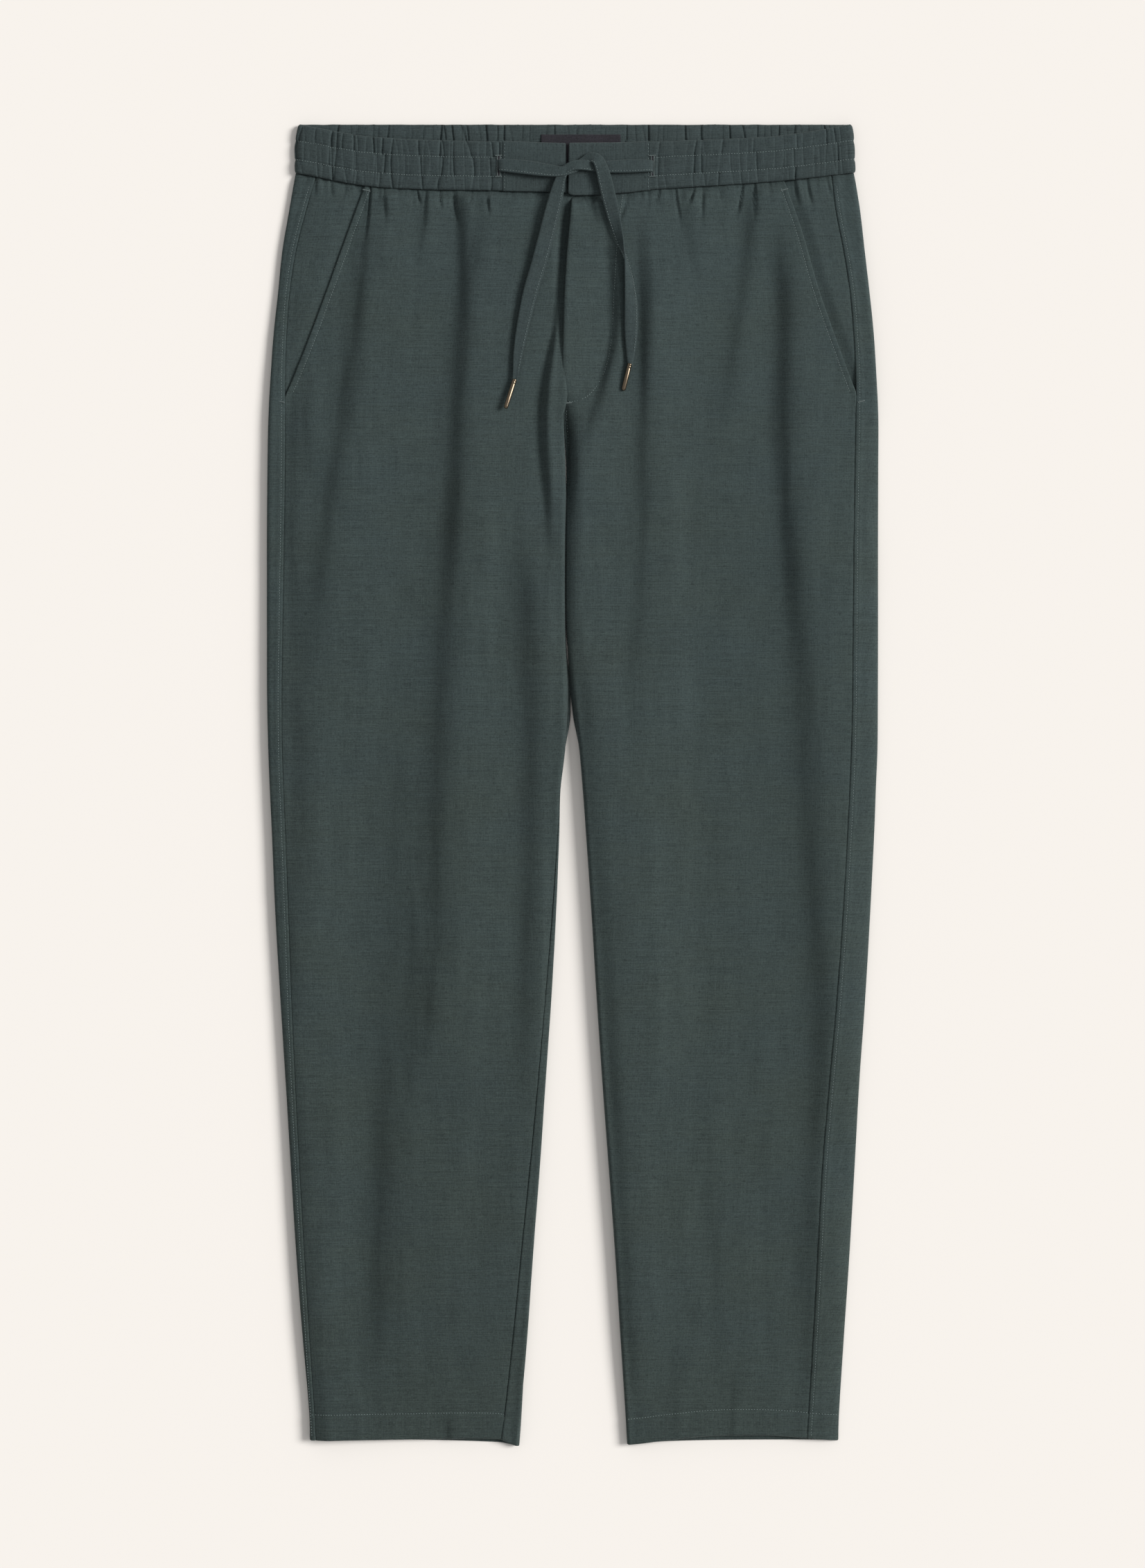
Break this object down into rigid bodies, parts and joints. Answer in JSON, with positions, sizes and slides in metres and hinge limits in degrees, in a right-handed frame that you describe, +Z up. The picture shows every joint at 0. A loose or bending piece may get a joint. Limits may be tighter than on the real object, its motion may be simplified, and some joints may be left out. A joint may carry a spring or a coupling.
{
  "type": "drawstring trousers laid flat",
  "caption": "Tapered pull-on trousers laid flat, with a gathered elastic waistband, slanted side pockets, a mock fly, plain hems and a tied drawstring with metal ends.",
  "frame": {"origin": "on the floor, under the middle of the garment's box", "axes": "+Y towards the waist, +X towards the right as seen from above, +Z up, off the garment's front"},
  "size_m": [0.4933, 1.068, 0.0112],
  "materials": {
    "cloth": "plain-woven linen blend, dark grey-green, dry and matt",
    "band_cloth": "the same cloth, gathered over elastic",
    "label_ribbon": "blank woven ribbon, nearly black",
    "tape": "flat tape folded and stitched from the same cloth",
    "tip_metal": "dark bronze plating, polished"
  },
  "bodies": {
    "root": {"front_left": "cloth", "front_right": "cloth", "back_left": "cloth", "back_right": "cloth", "pocket_facing_left": "cloth", "pocket_facing_right": "cloth", "waistband_elastic": "band_cloth", "waistband_front_left": "band_cloth", "waistband_front_right": "band_cloth", "label": "label_ribbon", "drawstring_left": "tape", "drawstring_right": "tape", "tip_left": "tip_metal", "tip_right": "tip_metal"}
  },
  "joints": []
}
